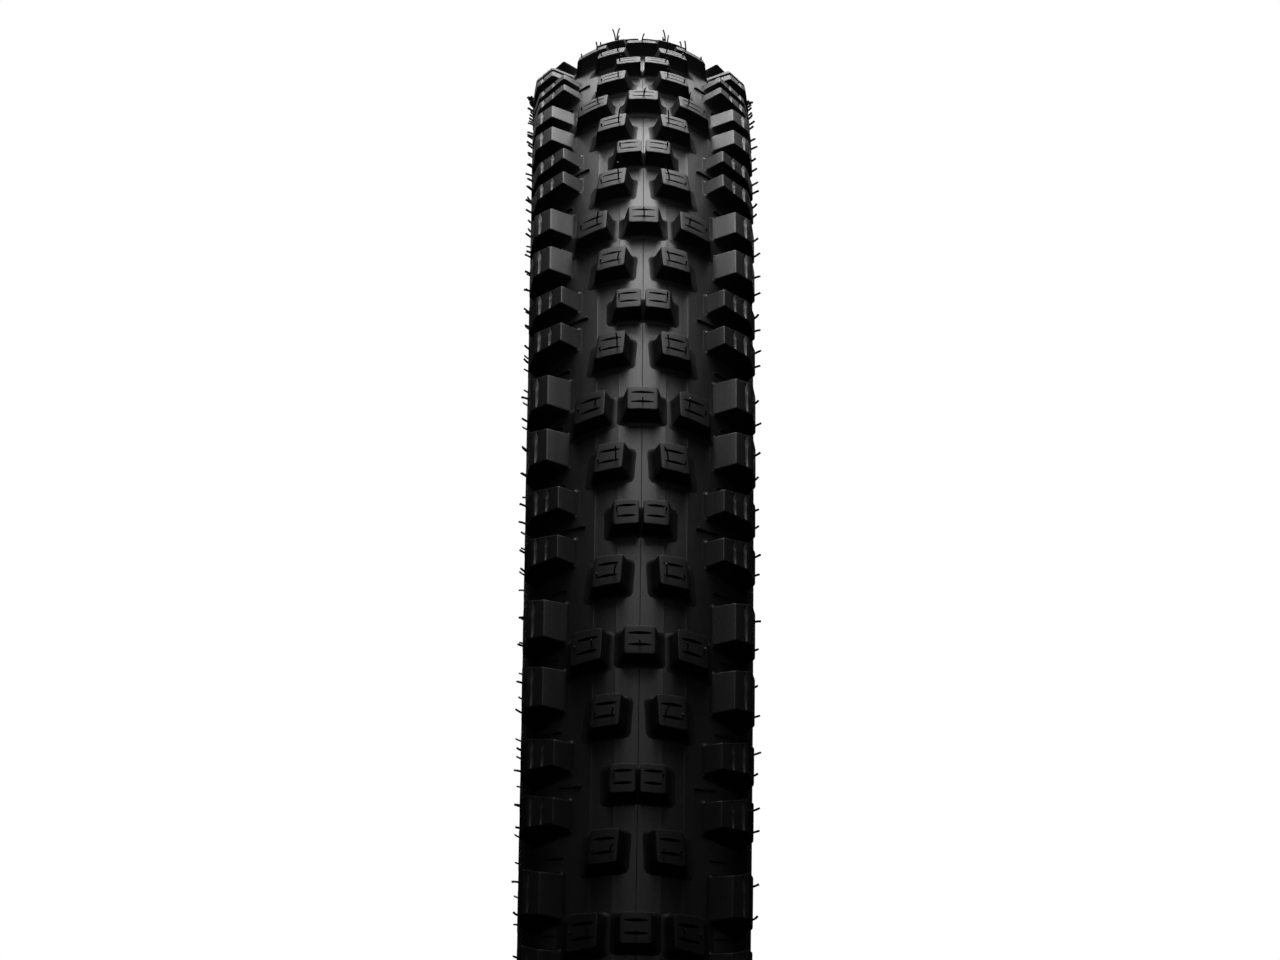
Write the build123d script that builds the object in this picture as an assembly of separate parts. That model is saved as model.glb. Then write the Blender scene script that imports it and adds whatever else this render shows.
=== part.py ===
"""Knobbly 57-622 mountain bicycle tire, wire bead, in millimetres.

The origin is the wheel centre, the axle runs along Y and +Z is up, so the tire stands upright.
Every ring is the revolution of a flat section about Y. In a section a place is written as
(side, radius): side is the distance from the mid plane, radius the distance from the axle.
Knobs are made once at the top of the tire, where X runs along the tread, and then turned
into their places about Y.
"""
from build123d import *
from build123d.topology import SkipClean
import math
import os

# Size of the tire
BEAD_SEAT_RADIUS = 311.0          # the rim's bead seat is 622 mm across
OUTER_RADIUS = 368.0              # over the centre knobs
RIM_INNER_WIDTH = 30.0            # distance between the outer faces of the two beads

# Outer skin between the knobs: one arc over the crown from side to side
SKIN_RADIUS = 29.0
SKIN_CENTRE = 334.6
KNOB_ARC_RADIUS = 30.0            # arc through the tops of the knobs
KNOB_ARC_CENTRE = OUTER_RADIUS - KNOB_ARC_RADIUS

# Casing: an arc over the crown, a tighter arc below the widest point, a turn at the rim flange
PLY = 0.3                         # thickness of one rubbered fabric ply
LINER = 0.2
SIDEWALL_RUBBER = 0.5
BELT = 0.3
TREAD_BASE = 0.7                  # top of the tread base above the casing
CASING_RADIUS = SKIN_RADIUS - SIDEWALL_RUBBER
CASING_CENTRE = 333.8
FLANGE_TURN = 3.0                 # radius of the turn above the bead
BEAD_WALL_TOP = 315.5             # top of the straight outer wall of the bead
INNER_TURN = 4.5                  # radius of the inner ply's turn beside the core

# Bead
CORE_RADIUS = 0.8
HEEL_RADIUS = 1.0
TOE_SIDE = 10.6
TOE_RADIUS = 311.7
BEAD_BASE_INNER_SIDE = 11.6
TURN_UP_ANGLE = 25.0              # how far the turned-up ply follows the flange turn
CHAFER_TOP_ANGLE = -62.0          # on the lower arc, from the widest point

# Ends of the strips under the tread, as angles from the crown or as sides
BELT_HALF_ANGLE = 40.0
TREAD_BASE_HALF_ANGLE = 60.0
CENTRE_STRIP_HALF_WIDTH = 17.2
SHOULDER_STRIP_ANGLE = 72.0

# Tread pattern
REPEATS = 29
PITCH_ANGLE = 360.0 / REPEATS
FIRST_ROW_ANGLE = 9.9             # from +Z to the first cut of the first single row
CUT_WIDTH = 0.6
CUT_DEPTH = 1.8

# Working room of the shapes that trim a knob
BLOCK_UNDERCUT = 5.0              # how far a block reaches below its base outline
BLOCK_OVERSHOOT = 1.5             # and above its top outline
BAND_SWEEP = 6.0                  # stretch of the ring that a knob is trimmed against, in degrees
BAND_HALF_WIDTH = 19.0            # of the band that trims the crown knobs
EDGE_SWEEP = 8.0                  # stretch of the ring that an edge knob is cut from
CUT_TOOL_HEIGHT = 20.0
CUT_TOOL_OVERSHOOT = 1.0

# Edge knobs
EDGE_TOP_HEIGHT = 361.0           # where the top length of an edge knob is measured
EDGE_BASE_HEIGHT = 354.0          # where its base length is measured
EDGE_REACH = 40.0                 # sideways room of the wedge that trims its ends
EDGE_SHARES = (-3.0, 2.0)         # the wedge's ends, as shares of the height between the two
EDGE_FOOT_RADIUS = 344.5          # where an edge knob runs out on the skin
EDGE_SKEW = 0.4                   # how far the outer part trails per millimetre past the ridge
GROOVE_MOUTH_HALF = 0.55
GROOVE_FLOOR_HALF = 0.15
GROOVE_DEPTH = 0.7

RING_SECTORS = 24                 # every ring is divided evenly, so that thin walls stay even

# Derived places in the section
CASING_BEAD_SIDE = RIM_INNER_WIDTH / 2 - SIDEWALL_RUBBER
FLANGE_SWEEP = 2 * math.degrees(
    math.atan((CASING_RADIUS - CASING_BEAD_SIDE) / (CASING_CENTRE - BEAD_WALL_TOP)))
TURNS_TOGETHER = (CASING_CENTRE - BEAD_WALL_TOP) / math.sin(math.radians(FLANGE_SWEEP))
LOWER_RADIUS = TURNS_TOGETHER - FLANGE_TURN
LOWER_CENTRE = (CASING_RADIUS - LOWER_RADIUS, CASING_CENTRE)
FLANGE_CENTRE = (CASING_BEAD_SIDE + FLANGE_TURN, BEAD_WALL_TOP)
CORE_CENTRE = (CASING_BEAD_SIDE - 2 * PLY - CORE_RADIUS,
               BEAD_SEAT_RADIUS + SIDEWALL_RUBBER + PLY + CORE_RADIUS)
INNER_FOOT_SIDE = CORE_CENTRE[0] - CORE_RADIUS
INNER_TURNS_TOGETHER = LOWER_RADIUS - PLY + INNER_TURN
INNER_SWEEP = math.degrees(
    math.acos(1 - (CASING_RADIUS - PLY - INNER_FOOT_SIDE) / INNER_TURNS_TOGETHER))
INNER_FOOT_RADIUS = CASING_CENTRE - INNER_TURNS_TOGETHER * math.sin(math.radians(INNER_SWEEP))
INNER_TURN_CENTRE = (INNER_FOOT_SIDE + INNER_TURN, INNER_FOOT_RADIUS)
CROWN_CENTRE = (0.0, CASING_CENTRE)
OUTER_CENTRE = (0.0, SKIN_CENTRE)


def place(centre, radius, angle):
    """A place on a circle of the section, the angle counted from sideways towards outward."""
    turn = math.radians(angle)
    return (centre[0] + radius * math.cos(turn), centre[1] + radius * math.sin(turn))


def on_skin(side, centre_radius, arc_radius):
    """The place at this side on a crown arc."""
    return (side, centre_radius + math.sqrt(arc_radius ** 2 - side ** 2))


def spot(where):
    """A section place as a point of the plane X = 0."""
    return (0.0, where[0], where[1])


def arc(centre, radius, start, end):
    """Three places on an arc of the section, between two angles."""
    return [place(centre, radius, angle) for angle in (start, (start + end) / 2, end)]


def line(start, end):
    return [start, end]


def section_face(outline):
    """The flat face inside a closed outline of arcs, of three places, and lines, of two."""
    edges = []
    for places in outline:
        curve = ThreePointArc if len(places) == 3 else Line
        edges.append(curve(*[spot(where) for where in places]))
    return make_face(edges)


def ring(outline):
    """The full revolution of a closed outline about the axle."""
    step = 360 / RING_SECTORS
    sector = Solid.revolve(section_face(outline).face(), step, Axis.Y)
    others = [sector.rotate(Axis.Y, index * step) for index in range(1, RING_SECTORS)]
    with SkipClean():
        return sector.fuse(*others)


def mirrored(outline):
    return [[(-side, radius) for side, radius in places] for places in outline]


def both_sides(half):
    """One ring from a half outline that starts and ends on the mid plane."""
    return ring(half + mirrored(half))


def outer_wall(depth, foot_radius):
    """The casing's surface at a depth, from the crown down outside the bead."""
    side = CASING_BEAD_SIDE - depth
    return [
        arc(CROWN_CENTRE, CASING_RADIUS - depth, 90, 0),
        arc(LOWER_CENTRE, LOWER_RADIUS - depth, 0, -FLANGE_SWEEP),
        arc(FLANGE_CENTRE, FLANGE_TURN + depth, 180 - FLANGE_SWEEP, 180),
        line((side, BEAD_WALL_TOP), (side, foot_radius)),
    ]


def inner_wall(depth):
    """The casing's surface at a depth, from the crown down inside the bead core."""
    return [
        arc(CROWN_CENTRE, CASING_RADIUS - depth, 90, 0),
        arc(LOWER_CENTRE, LOWER_RADIUS - depth, 0, -INNER_SWEEP),
        arc(INNER_TURN_CENTRE, INNER_TURN + depth - PLY, 180 - INNER_SWEEP, 180),
    ]


def casing_ply_outer():
    """The second ply: bead to bead, down the outside of each bead."""
    foot = CORE_CENTRE[1]
    cap = line((CASING_BEAD_SIDE, foot), (CASING_BEAD_SIDE - PLY, foot))
    return both_sides(outer_wall(0, foot) + [cap] + outer_wall(PLY, foot))


def turn_up(gap, turn_radius):
    """One face of the ply from beside the core, round under it and up its outer side."""
    side = CORE_CENTRE[0] + CORE_RADIUS + gap
    inner_side = INNER_FOOT_SIDE - gap
    return [
        line((inner_side, INNER_FOOT_RADIUS), (inner_side, CORE_CENTRE[1])),
        arc(CORE_CENTRE, CORE_RADIUS + gap, 180, 360),
        line((side, CORE_CENTRE[1]), (side, BEAD_WALL_TOP)),
        arc(FLANGE_CENTRE, turn_radius, 180, 180 - TURN_UP_ANGLE),
    ]


def casing_ply_inner():
    """The first ply: bead to bead, wrapped under each core and turned up outside it."""
    near_core = turn_up(0, FLANGE_TURN + 2 * PLY)
    away_from_core = turn_up(PLY, FLANGE_TURN + PLY)
    cap = line(place(FLANGE_CENTRE, FLANGE_TURN + 2 * PLY, 180 - TURN_UP_ANGLE),
               place(FLANGE_CENTRE, FLANGE_TURN + PLY, 180 - TURN_UP_ANGLE))
    return both_sides(inner_wall(PLY) + near_core + [cap] + away_from_core + inner_wall(2 * PLY))


def inner_liner():
    """The airtight skin that lines the cavity down to the toes of the beads."""
    outside = INNER_FOOT_SIDE - PLY
    cap = line((outside, INNER_FOOT_RADIUS), (outside - LINER, INNER_FOOT_RADIUS))
    return both_sides(inner_wall(2 * PLY) + [cap] + inner_wall(2 * PLY + LINER))


def bead_core():
    hoop = Rot(90, 0, 0) * Torus(CORE_CENTRE[1], CORE_RADIUS)
    return Pos(0, CORE_CENTRE[0], 0) * hoop


def bead_filler():
    """The hard rubber strip on top of the core, between the two legs of the casing."""
    top = place(FLANGE_CENTRE, FLANGE_TURN + 2 * PLY, 180 - TURN_UP_ANGLE)
    rise = math.degrees(math.asin((top[1] - INNER_FOOT_RADIUS) / INNER_TURN))
    outer_side = CORE_CENTRE[0] + CORE_RADIUS
    return ring([
        line((INNER_FOOT_SIDE, CORE_CENTRE[1]), (INNER_FOOT_SIDE, INNER_FOOT_RADIUS)),
        arc(INNER_TURN_CENTRE, INNER_TURN, 180, 180 - rise),
        line(place(INNER_TURN_CENTRE, INNER_TURN, 180 - rise), top),
        arc(FLANGE_CENTRE, FLANGE_TURN + 2 * PLY, 180 - TURN_UP_ANGLE, 180),
        line((outer_side, BEAD_WALL_TOP), (outer_side, CORE_CENTRE[1])),
        arc(CORE_CENTRE, CORE_RADIUS, 0, 180),
    ])


def chafer():
    """The rubber shoe round the bead: outer face, heel, base on the rim and toe."""
    outer_side = RIM_INNER_WIDTH / 2
    inner_side = INNER_FOOT_SIDE - PLY
    heel_radius = BEAD_SEAT_RADIUS + HEEL_RADIUS
    skin = -SIDEWALL_RUBBER
    return ring([
        arc(LOWER_CENTRE, LOWER_RADIUS - skin, CHAFER_TOP_ANGLE, -FLANGE_SWEEP),
        arc(FLANGE_CENTRE, FLANGE_TURN + skin, 180 - FLANGE_SWEEP, 180),
        line((outer_side, BEAD_WALL_TOP), (outer_side, heel_radius)),
        arc((outer_side - HEEL_RADIUS, heel_radius), HEEL_RADIUS, 0, -90),
        line((outer_side - HEEL_RADIUS, BEAD_SEAT_RADIUS), (BEAD_BASE_INNER_SIDE, BEAD_SEAT_RADIUS)),
        line((BEAD_BASE_INNER_SIDE, BEAD_SEAT_RADIUS), (TOE_SIDE, TOE_RADIUS)),
        line((TOE_SIDE, TOE_RADIUS), (inner_side - LINER, INNER_FOOT_RADIUS)),
        line((inner_side - LINER, INNER_FOOT_RADIUS), (inner_side, INNER_FOOT_RADIUS)),
        line((inner_side, INNER_FOOT_RADIUS), (inner_side, CORE_CENTRE[1])),
        arc(CORE_CENTRE, CORE_RADIUS + PLY, 180, 360),
        line((CASING_BEAD_SIDE - PLY, CORE_CENTRE[1]), (CASING_BEAD_SIDE, CORE_CENTRE[1])),
        line((CASING_BEAD_SIDE, CORE_CENTRE[1]), (CASING_BEAD_SIDE, BEAD_WALL_TOP)),
        arc(FLANGE_CENTRE, FLANGE_TURN, 180, 180 - FLANGE_SWEEP),
        arc(LOWER_CENTRE, LOWER_RADIUS, -FLANGE_SWEEP, CHAFER_TOP_ANGLE),
        line(place(LOWER_CENTRE, LOWER_RADIUS, CHAFER_TOP_ANGLE),
             place(LOWER_CENTRE, LOWER_RADIUS - skin, CHAFER_TOP_ANGLE)),
    ])


def puncture_belt():
    start = 90 - BELT_HALF_ANGLE
    return both_sides([
        arc(CROWN_CENTRE, CASING_RADIUS, 90, start),
        line(place(CROWN_CENTRE, CASING_RADIUS, start),
             place(CROWN_CENTRE, CASING_RADIUS + BELT, start)),
        arc(CROWN_CENTRE, CASING_RADIUS + BELT, start, 90),
    ])


def tread_base():
    """The undertread that bonds the tread strips to the casing and covers the belt."""
    belt_end = 90 - BELT_HALF_ANGLE
    end = 90 - TREAD_BASE_HALF_ANGLE
    return both_sides([
        arc(CROWN_CENTRE, CASING_RADIUS + BELT, 90, belt_end),
        line(place(CROWN_CENTRE, CASING_RADIUS + BELT, belt_end),
             place(CROWN_CENTRE, CASING_RADIUS, belt_end)),
        arc(CROWN_CENTRE, CASING_RADIUS, belt_end, end),
        line(place(CROWN_CENTRE, CASING_RADIUS, end),
             place(CROWN_CENTRE, CASING_RADIUS + TREAD_BASE, end)),
        arc(CROWN_CENTRE, CASING_RADIUS + TREAD_BASE, end, belt_end),
        arc(CROWN_CENTRE, CASING_RADIUS + TREAD_BASE, belt_end, 90),
    ])


def strip_joint():
    """The joint between the centre and shoulder strips: its lower and upper place and angles."""
    inner_radius = CASING_RADIUS + TREAD_BASE
    low = on_skin(CENTRE_STRIP_HALF_WIDTH, CASING_CENTRE, inner_radius)
    high = on_skin(CENTRE_STRIP_HALF_WIDTH, SKIN_CENTRE, SKIN_RADIUS)
    low_angle = math.degrees(math.acos(CENTRE_STRIP_HALF_WIDTH / inner_radius))
    high_angle = math.degrees(math.acos(CENTRE_STRIP_HALF_WIDTH / SKIN_RADIUS))
    return low, high, low_angle, high_angle


def tread_centre_strip():
    low, high, low_angle, high_angle = strip_joint()
    return both_sides([
        arc(CROWN_CENTRE, CASING_RADIUS + TREAD_BASE, 90, low_angle),
        line(low, high),
        arc(OUTER_CENTRE, SKIN_RADIUS, high_angle, 90),
    ])


def tread_shoulder_strip():
    low, high, low_angle, high_angle = strip_joint()
    base_end = 90 - TREAD_BASE_HALF_ANGLE
    end = 90 - SHOULDER_STRIP_ANGLE
    return ring([
        line(high, low),
        arc(CROWN_CENTRE, CASING_RADIUS + TREAD_BASE, low_angle, base_end),
        line(place(CROWN_CENTRE, CASING_RADIUS + TREAD_BASE, base_end),
             place(CROWN_CENTRE, CASING_RADIUS, base_end)),
        arc(CROWN_CENTRE, CASING_RADIUS, base_end, end),
        line(place(CROWN_CENTRE, CASING_RADIUS, end), place(OUTER_CENTRE, SKIN_RADIUS, end)),
        arc(OUTER_CENTRE, SKIN_RADIUS, end, high_angle),
    ])


def sidewall_rubber():
    """The thin skin over the casing from the shoulder strip down to the chafer."""
    start = 90 - SHOULDER_STRIP_ANGLE
    outer_lower = LOWER_RADIUS + SIDEWALL_RUBBER
    return ring([
        line(place(CROWN_CENTRE, CASING_RADIUS, start), place(OUTER_CENTRE, SKIN_RADIUS, start)),
        arc(OUTER_CENTRE, SKIN_RADIUS, start, 0),
        line((SKIN_RADIUS, SKIN_CENTRE), (SKIN_RADIUS, CASING_CENTRE)),
        arc(LOWER_CENTRE, outer_lower, 0, CHAFER_TOP_ANGLE),
        line(place(LOWER_CENTRE, outer_lower, CHAFER_TOP_ANGLE),
             place(LOWER_CENTRE, LOWER_RADIUS, CHAFER_TOP_ANGLE)),
        arc(LOWER_CENTRE, LOWER_RADIUS, CHAFER_TOP_ANGLE, 0),
        arc(CROWN_CENTRE, CASING_RADIUS, 0, start),
    ])


def tread_band(low_centre, low_radius, high_centre, high_radius):
    """A short piece of the ring between two crown arcs, at the top of the tire."""
    low = on_skin(BAND_HALF_WIDTH, low_centre, low_radius)
    high = on_skin(BAND_HALF_WIDTH, high_centre, high_radius)
    low_angle = math.degrees(math.acos(BAND_HALF_WIDTH / low_radius))
    high_angle = math.degrees(math.acos(BAND_HALF_WIDTH / high_radius))
    section = section_face([
        arc((0.0, low_centre), low_radius, 180 - low_angle, low_angle),
        line(low, high),
        arc((0.0, high_centre), high_radius, high_angle, 180 - high_angle),
        line((-high[0], high[1]), (-low[0], low[1])),
    ])
    return revolve(section, Axis.Y, BAND_SWEEP).rotate(Axis.Y, -BAND_SWEEP / 2)


def outline_at(top, base, share):
    """The block's outline at a share of its height, 0 at the base and 1 at the top."""
    return [(b[0] + (t[0] - b[0]) * share, b[1] + (t[1] - b[1]) * share)
            for t, b in zip(top, base)]


def tapered_block(top, base, base_height, top_height):
    """A block whose outline runs straight from base to top, and a little past both."""
    height = top_height - base_height
    low = -BLOCK_UNDERCUT / height
    high = 1 + BLOCK_OVERSHOOT / height
    faces = []
    for share in (low, high):
        corners = [(x, y, base_height + height * share) for x, y in outline_at(top, base, share)]
        faces.append(make_face(Polyline(*corners, close=True)))
    return loft(faces, ruled=True)


def crown_knob(top, base, cuts, cut_sides):
    """A knob of the centre or middle rows, its base on the skin and its top on the knob arc."""
    floor_height = on_skin(0, SKIN_CENTRE, SKIN_RADIUS)[1]
    block = tapered_block(top, base, floor_height, OUTER_RADIUS)
    knob = block & tread_band(SKIN_CENTRE, SKIN_RADIUS, KNOB_ARC_CENTRE, KNOB_ARC_RADIUS)
    cut_band = tread_band(KNOB_ARC_CENTRE, KNOB_ARC_RADIUS - CUT_DEPTH,
                          KNOB_ARC_CENTRE, KNOB_ARC_RADIUS + CUT_TOOL_OVERSHOOT)
    width = cut_sides[1] - cut_sides[0]
    middle = (cut_sides[0] + cut_sides[1]) / 2
    for x in cuts:
        slot = Pos(x, middle, OUTER_RADIUS) * Box(CUT_WIDTH, width, CUT_TOOL_HEIGHT)
        knob = knob - (slot & cut_band)
    return knob.solid()


def skewed_outline(across, ridge_side):
    """Plan of an edge knob: straight up to the ridge, then trailing towards the outer end."""
    trail = EDGE_SKEW * (EDGE_REACH - ridge_side)
    half = across / 2
    return [(-half, 0), (half, 0), (half, ridge_side), (half - trail, EDGE_REACH),
            (-half - trail, EDGE_REACH), (-half, ridge_side)]


def shoulder_knob(section, ridge_side, length, base_length):
    """A knob of the edge rows: its section carried along the tread between sloping ends."""
    bar = revolve(section, Axis.Y, EDGE_SWEEP).rotate(Axis.Y, -EDGE_SWEEP / 2)
    top, base = [skewed_outline(across, ridge_side) for across in (length, base_length)]
    height = EDGE_TOP_HEIGHT - EDGE_BASE_HEIGHT
    faces = []
    for share in EDGE_SHARES:
        corners = [(x, y, EDGE_BASE_HEIGHT + height * share) for x, y in outline_at(top, base, share)]
        faces.append(make_face(Polyline(*corners, close=True)))
    return (bar & loft(faces, ruled=True)).solid()


def shoulder_section(root_side, ridge, corner, lower_end, grooves):
    """Section of an edge knob: ramp, ridge, grooved outer face, end wall and the skin below."""
    root = on_skin(root_side, SKIN_CENTRE, SKIN_RADIUS)
    foot_angle = math.degrees(math.asin((EDGE_FOOT_RADIUS - SKIN_CENTRE) / SKIN_RADIUS))
    root_angle = math.degrees(math.acos(root_side / SKIN_RADIUS))
    slope = (corner[1] - ridge[1]) / (corner[0] - ridge[0])
    places = [root, ridge]
    for middle in grooves:
        for offset, depth in ((-GROOVE_MOUTH_HALF, 0), (-GROOVE_FLOOR_HALF, GROOVE_DEPTH),
                              (GROOVE_FLOOR_HALF, GROOVE_DEPTH), (GROOVE_MOUTH_HALF, 0)):
            side = middle + offset
            places.append((side, ridge[1] + slope * (side - ridge[0]) - depth))
    places += [corner, lower_end, place(OUTER_CENTRE, SKIN_RADIUS, foot_angle)]
    outline = [line(start, end) for start, end in zip(places, places[1:])]
    outline.append(arc(OUTER_CENTRE, SKIN_RADIUS, foot_angle, root_angle))
    return section_face(outline)


# Knob outlines: corners in the order rear inner, front inner, front outer, rear outer, where
# front is the side that comes first as the tread is followed in the direction of the rows.
def single_knob():
    top = [(-4.15, -3.9), (4.15, -3.9), (4.15, 3.9), (-4.15, 3.9)]
    base = [(-4.6, -5.0), (4.6, -5.0), (4.6, 5.0), (-4.6, 5.0)]
    return crown_knob(top, base, (-1.95, 1.47), (-2.9, 2.9))


def pair_knob():
    top = [(-4.0, 0.55), (4.0, 0.55), (4.0, 6.9), (-4.0, 6.9)]
    base = [(-4.45, 0.5), (4.45, 0.5), (4.45, 7.8), (-4.45, 7.8)]
    return crown_knob(top, base, (-1.96, 1.4), (1.25, 6.2))


def middle_knob():
    top = [(-4.5, 4.6), (4.5, 5.2), (4.5, 12.0), (-4.5, 11.3)]
    base = [(-5.0, 2.5), (5.0, 3.1), (5.0, 12.4), (-5.0, 11.6)]
    return crown_knob(top, base, (-1.85, 1.73), (5.7, 10.9))


def outer_single_knob():
    top = [(-4.4, 10.2), (4.4, 10.6), (4.4, 16.9), (-4.4, 16.5)]
    base = [(-4.9, 7.8), (4.9, 8.2), (4.9, 17.2), (-4.9, 16.8)]
    return crown_knob(top, base, (-1.85, 1.73), (11.2, 15.8))


def long_shoulder_knob():
    ridge = (20.9, 361.3)
    section = shoulder_section(16.2, ridge, (27.5, 355.1), (29.1, 349.5), (23.6, 26.3))
    return shoulder_knob(section, ridge[0], 7.5, 9.6)


def short_shoulder_knob():
    ridge = (24.0, 359.6)
    section = shoulder_section(18.0, ridge, (28.2, 356.0), (29.1, 350.0), (26.6,))
    return shoulder_knob(section, ridge[0], 11.0, 13.0)


# Middles of the rows, in mm along the tread at the outer radius, from row zero
SINGLE_ROW = (1.95,)
PAIR_ROW = (41.55,)
MIDDLE_ROWS = (22.1, 59.8)
OUTER_SINGLE_ROW = (2.2,)
LONG_SHOULDER_ROWS = (31.4, 47.9)
SHORT_SHOULDER_ROWS = (11.0, 69.8)


def around(knob, rows):
    """The knob repeated round the tire in each of its rows."""
    starts = [FIRST_ROW_ANGLE + math.degrees(row / OUTER_RADIUS) for row in rows]
    return [knob.rotate(Axis.Y, start + index * PITCH_ANGLE)
            for start in starts for index in range(REPEATS)]


def write(name, shape):
    shape.label = name
    export_step(shape, os.path.join("parts", name + ".step"))


def write_pair(name, shape):
    """A ring of the +Y side and its mirror image of the -Y side."""
    write(name + "_right", shape)
    write(name + "_left", shape.mirror(Plane.XZ))


def write_knobs(name, knob, rows):
    write(name, Compound(children=around(knob, rows)))


def write_knob_pair(name, knob, rows):
    write_knobs(name + "_right", knob, rows)
    write_knobs(name + "_left", knob.mirror(Plane.XZ), rows)


def main():
    os.makedirs("parts", exist_ok=True)
    write("casing_ply_inner", casing_ply_inner())
    write("casing_ply_outer", casing_ply_outer())
    write("inner_liner", inner_liner())
    write("puncture_belt", puncture_belt())
    write("tread_base", tread_base())
    write("tread_centre_strip", tread_centre_strip())
    write_pair("tread_shoulder_strip", tread_shoulder_strip())
    write_pair("sidewall_rubber", sidewall_rubber())
    write_pair("chafer", chafer())
    write_pair("bead_core", bead_core())
    write_pair("bead_filler", bead_filler())
    write_knobs("centre_single_knobs", single_knob(), SINGLE_ROW)
    write_knob_pair("centre_pair_knobs", pair_knob(), PAIR_ROW)
    write_knob_pair("middle_knobs", middle_knob(), MIDDLE_ROWS)
    write_knob_pair("outer_single_knobs", outer_single_knob(), OUTER_SINGLE_ROW)
    write_knob_pair("shoulder_long_knobs", long_shoulder_knob(), LONG_SHOULDER_ROWS)
    write_knob_pair("shoulder_short_knobs", short_shoulder_knob(), SHORT_SHOULDER_ROWS)


main()
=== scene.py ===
import math
import random

import bmesh
import bpy
from mathutils import Matrix, Vector


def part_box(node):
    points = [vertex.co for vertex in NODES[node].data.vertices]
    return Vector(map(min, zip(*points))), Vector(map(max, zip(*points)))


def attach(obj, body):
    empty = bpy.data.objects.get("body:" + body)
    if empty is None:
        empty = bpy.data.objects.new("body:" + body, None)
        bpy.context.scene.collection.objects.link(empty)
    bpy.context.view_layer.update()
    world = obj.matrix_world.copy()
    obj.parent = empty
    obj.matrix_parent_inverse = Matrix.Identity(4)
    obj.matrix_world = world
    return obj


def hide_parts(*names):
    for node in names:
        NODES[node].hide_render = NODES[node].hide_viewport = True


bl_info = {
    "name": "Knobbly bicycle tire",
    "version": (1, 0, 0),
    "blender": (4, 5, 0),
    "location": "View3D > Sidebar > Tire",
    "description": "Builds the rubber, tread and moulding details of a knobbly bicycle tire",
    "category": "Add Mesh",
}

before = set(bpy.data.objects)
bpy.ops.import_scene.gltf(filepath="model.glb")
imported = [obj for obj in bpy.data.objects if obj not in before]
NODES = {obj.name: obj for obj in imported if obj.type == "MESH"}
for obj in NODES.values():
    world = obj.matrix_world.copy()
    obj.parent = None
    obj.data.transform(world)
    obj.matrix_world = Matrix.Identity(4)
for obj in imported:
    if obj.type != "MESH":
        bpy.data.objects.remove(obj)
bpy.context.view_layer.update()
BOTH_SIDES = (("right", 1), ("left", -1))
MM = 0.001


def reach(node):
    """Greatest distance of a CAD node from the axle, in millimetres."""
    return max(math.hypot(v.co.x, v.co.z) for v in NODES[node].data.vertices) / MM


# Section of the tire in millimetres: a place is (side, distance from the axle)
REPEATS = 29
PITCH = 2 * math.pi / REPEATS
SKIN_ARC = round(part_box("sidewall_rubber_right")[1].y / MM, 2)
CROWN = reach("tread_centre_strip")
SKIN_CENTRE = CROWN - SKIN_ARC
KNOB_HEIGHT = 4.4
OUTER = CROWN + KNOB_HEIGHT
KNOB_ARC = SKIN_ARC + 1
KNOB_CENTRE = OUTER - KNOB_ARC
STRIP_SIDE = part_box("tread_centre_strip")[1].y / MM
SHOULDER_END = math.radians(18)        # where the shoulder strip meets the sidewall
STRIP_THICKNESS = 0.5
LOWEST_TREAD = -OUTER * MM
GROOVE_WIDTH = 0.8
CREASE = math.radians(40)              # edges sharper than this stay crisp
RING_STEPS = REPEATS * 12              # faces round a turned ring
MIX_FACTOR, MIX_FIRST, MIX_SECOND, MIX_RESULT = 0, 6, 7, 2    # colour sockets of a Mix node


def first_row():
    """Angle from the top of the tire to a row of single knobs, read from the CAD knobs."""
    across = along = 0.0
    for vertex in NODES["centre_single_knobs"].data.vertices:
        turn = REPEATS * math.atan2(vertex.co.x, vertex.co.z)
        along += math.cos(turn)
        across += math.sin(turn)
    return math.atan2(across, along) / REPEATS


SINGLE_ROW = 1.95                      # rows in millimetres along the tread
ROW_ZERO = first_row() - SINGLE_ROW / OUTER


def skin(side):
    """Radius of the bare tread at this side."""
    return SKIN_CENTRE + math.sqrt(max(SKIN_ARC ** 2 - side ** 2, 0.0))


def knob_top(side):
    """Radius of the arc through the knob tops at this side."""
    return KNOB_CENTRE + math.sqrt(max(KNOB_ARC ** 2 - side ** 2, 0.0))


def on_wheel(along, side, radius, row):
    """A place near a row as a point of the model, in metres."""
    turn = ROW_ZERO + row / OUTER + math.asin(along / radius)
    return Vector((radius * math.sin(turn), side, radius * math.cos(turn))) * MM


def on_skin_normal(turn, height):
    """Place above the tread skin, the angle counted from the crown towards the side."""
    reach_out = SKIN_ARC + height
    return reach_out * math.sin(turn), SKIN_CENTRE + reach_out * math.cos(turn)


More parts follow.
